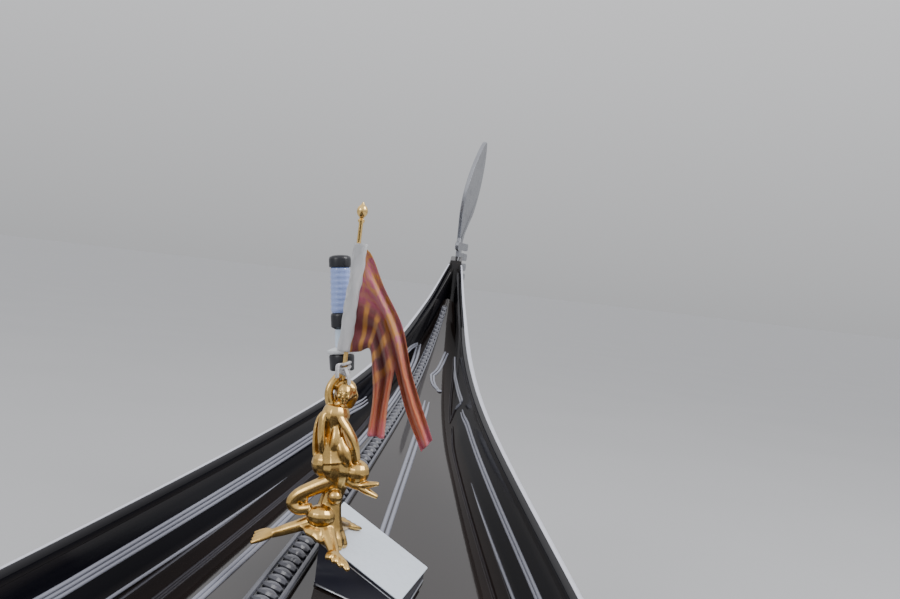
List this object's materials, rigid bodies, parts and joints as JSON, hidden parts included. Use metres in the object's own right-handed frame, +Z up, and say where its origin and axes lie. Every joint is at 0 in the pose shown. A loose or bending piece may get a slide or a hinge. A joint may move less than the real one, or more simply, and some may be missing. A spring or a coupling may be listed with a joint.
{
  "type": "gondola rowing boat",
  "caption": "Long slender flat-bottomed rowing boat with raised ends, black lacquered hull, toothed bow iron, gilt foredeck figure and flag, upholstered cockpit and a stern oar in its rowlock.",
  "frame": {"origin": "on the flat of the bottom, at the middle of the overall length and of the overall beam", "axes": "+X to the bow, +Y to port, +Z up"},
  "size_m": [10.999, 1.436, 1.842],
  "materials": {
    "lacquer": "black gloss lacquer",
    "deck": "very dark brown high-gloss lacquer",
    "timber": "satin oiled wood",
    "walnut": "satin polished walnut",
    "beech": "varnished beech",
    "steel": "polished steel",
    "gilt": "polished gilt brass",
    "leather": "dark red leather",
    "cloth": "red and gold cloth",
    "lens": "pale blue translucent plastic with black caps",
    "card": "blank white laminated card"
  },
  "bodies": {
    "hull": {"aft_bulkhead": "deck", "aft_deck": "deck", "bow_iron": "steel", "figure_block": "lacquer", "flag": "cloth", "flag_staff": "gilt", "floor_timbers": "timber", "floorboards_aft": "timber", "floorboards_fore": "timber", "forcola": "walnut", "forcola_socket": "timber", "foredeck": "deck", "foredeck_bulkhead": "deck", "foredeck_ridge": "deck", "frames_port": "timber", "frames_starboard": "timber", "gilt_figure": "gilt", "gunwale_rail_port": "lacquer", "gunwale_rail_starboard": "lacquer", "hull_bottom_aft": "lacquer", "hull_bottom_fore": "lacquer", "hull_bottom_middle": "lacquer", "hull_side_port_aft": "lacquer", "hull_side_port_fore": "lacquer", "hull_side_port_middle": "lacquer", "hull_side_starboard_aft": "lacquer", "hull_side_starboard_fore": "lacquer", "hull_side_starboard_middle": "lacquer", "main_back_cushion": "leather", "main_seat_back": "deck", "main_seat_base": "deck", "main_seat_cushion": "leather", "notice_card": "card", "rowing_platform": "timber", "seahorse_port": "gilt", "seahorse_starboard": "gilt", "side_chair_cushion_port": "leather", "side_chair_cushion_starboard": "leather", "side_chair_port": "deck", "side_chair_starboard": "deck", "signal_lamp": "lens", "stem_post": "lacquer", "stern_iron": "steel", "stern_post": "lacquer", "thwart_aft": "deck", "thwart_fore": "deck"},
    "foredeck_door": {"foredeck_door": "deck"},
    "oar": {"oar": "beech"}
  },
  "joints": [
    {"name": "foredeck_door_swing", "type": "hinge", "parent": "hull", "child": "foredeck_door", "pos_m": [1.996, 0.2, 0.265], "axis": [0, 0, -1], "range_deg": [0, 100]},
    {"name": "oar_sweep", "type": "hinge", "parent": "hull", "child": "oar", "pos_m": [-2.44, -0.64, 1.15], "axis": [0, 0, 1], "range_deg": [-4, 50]}
  ]
}
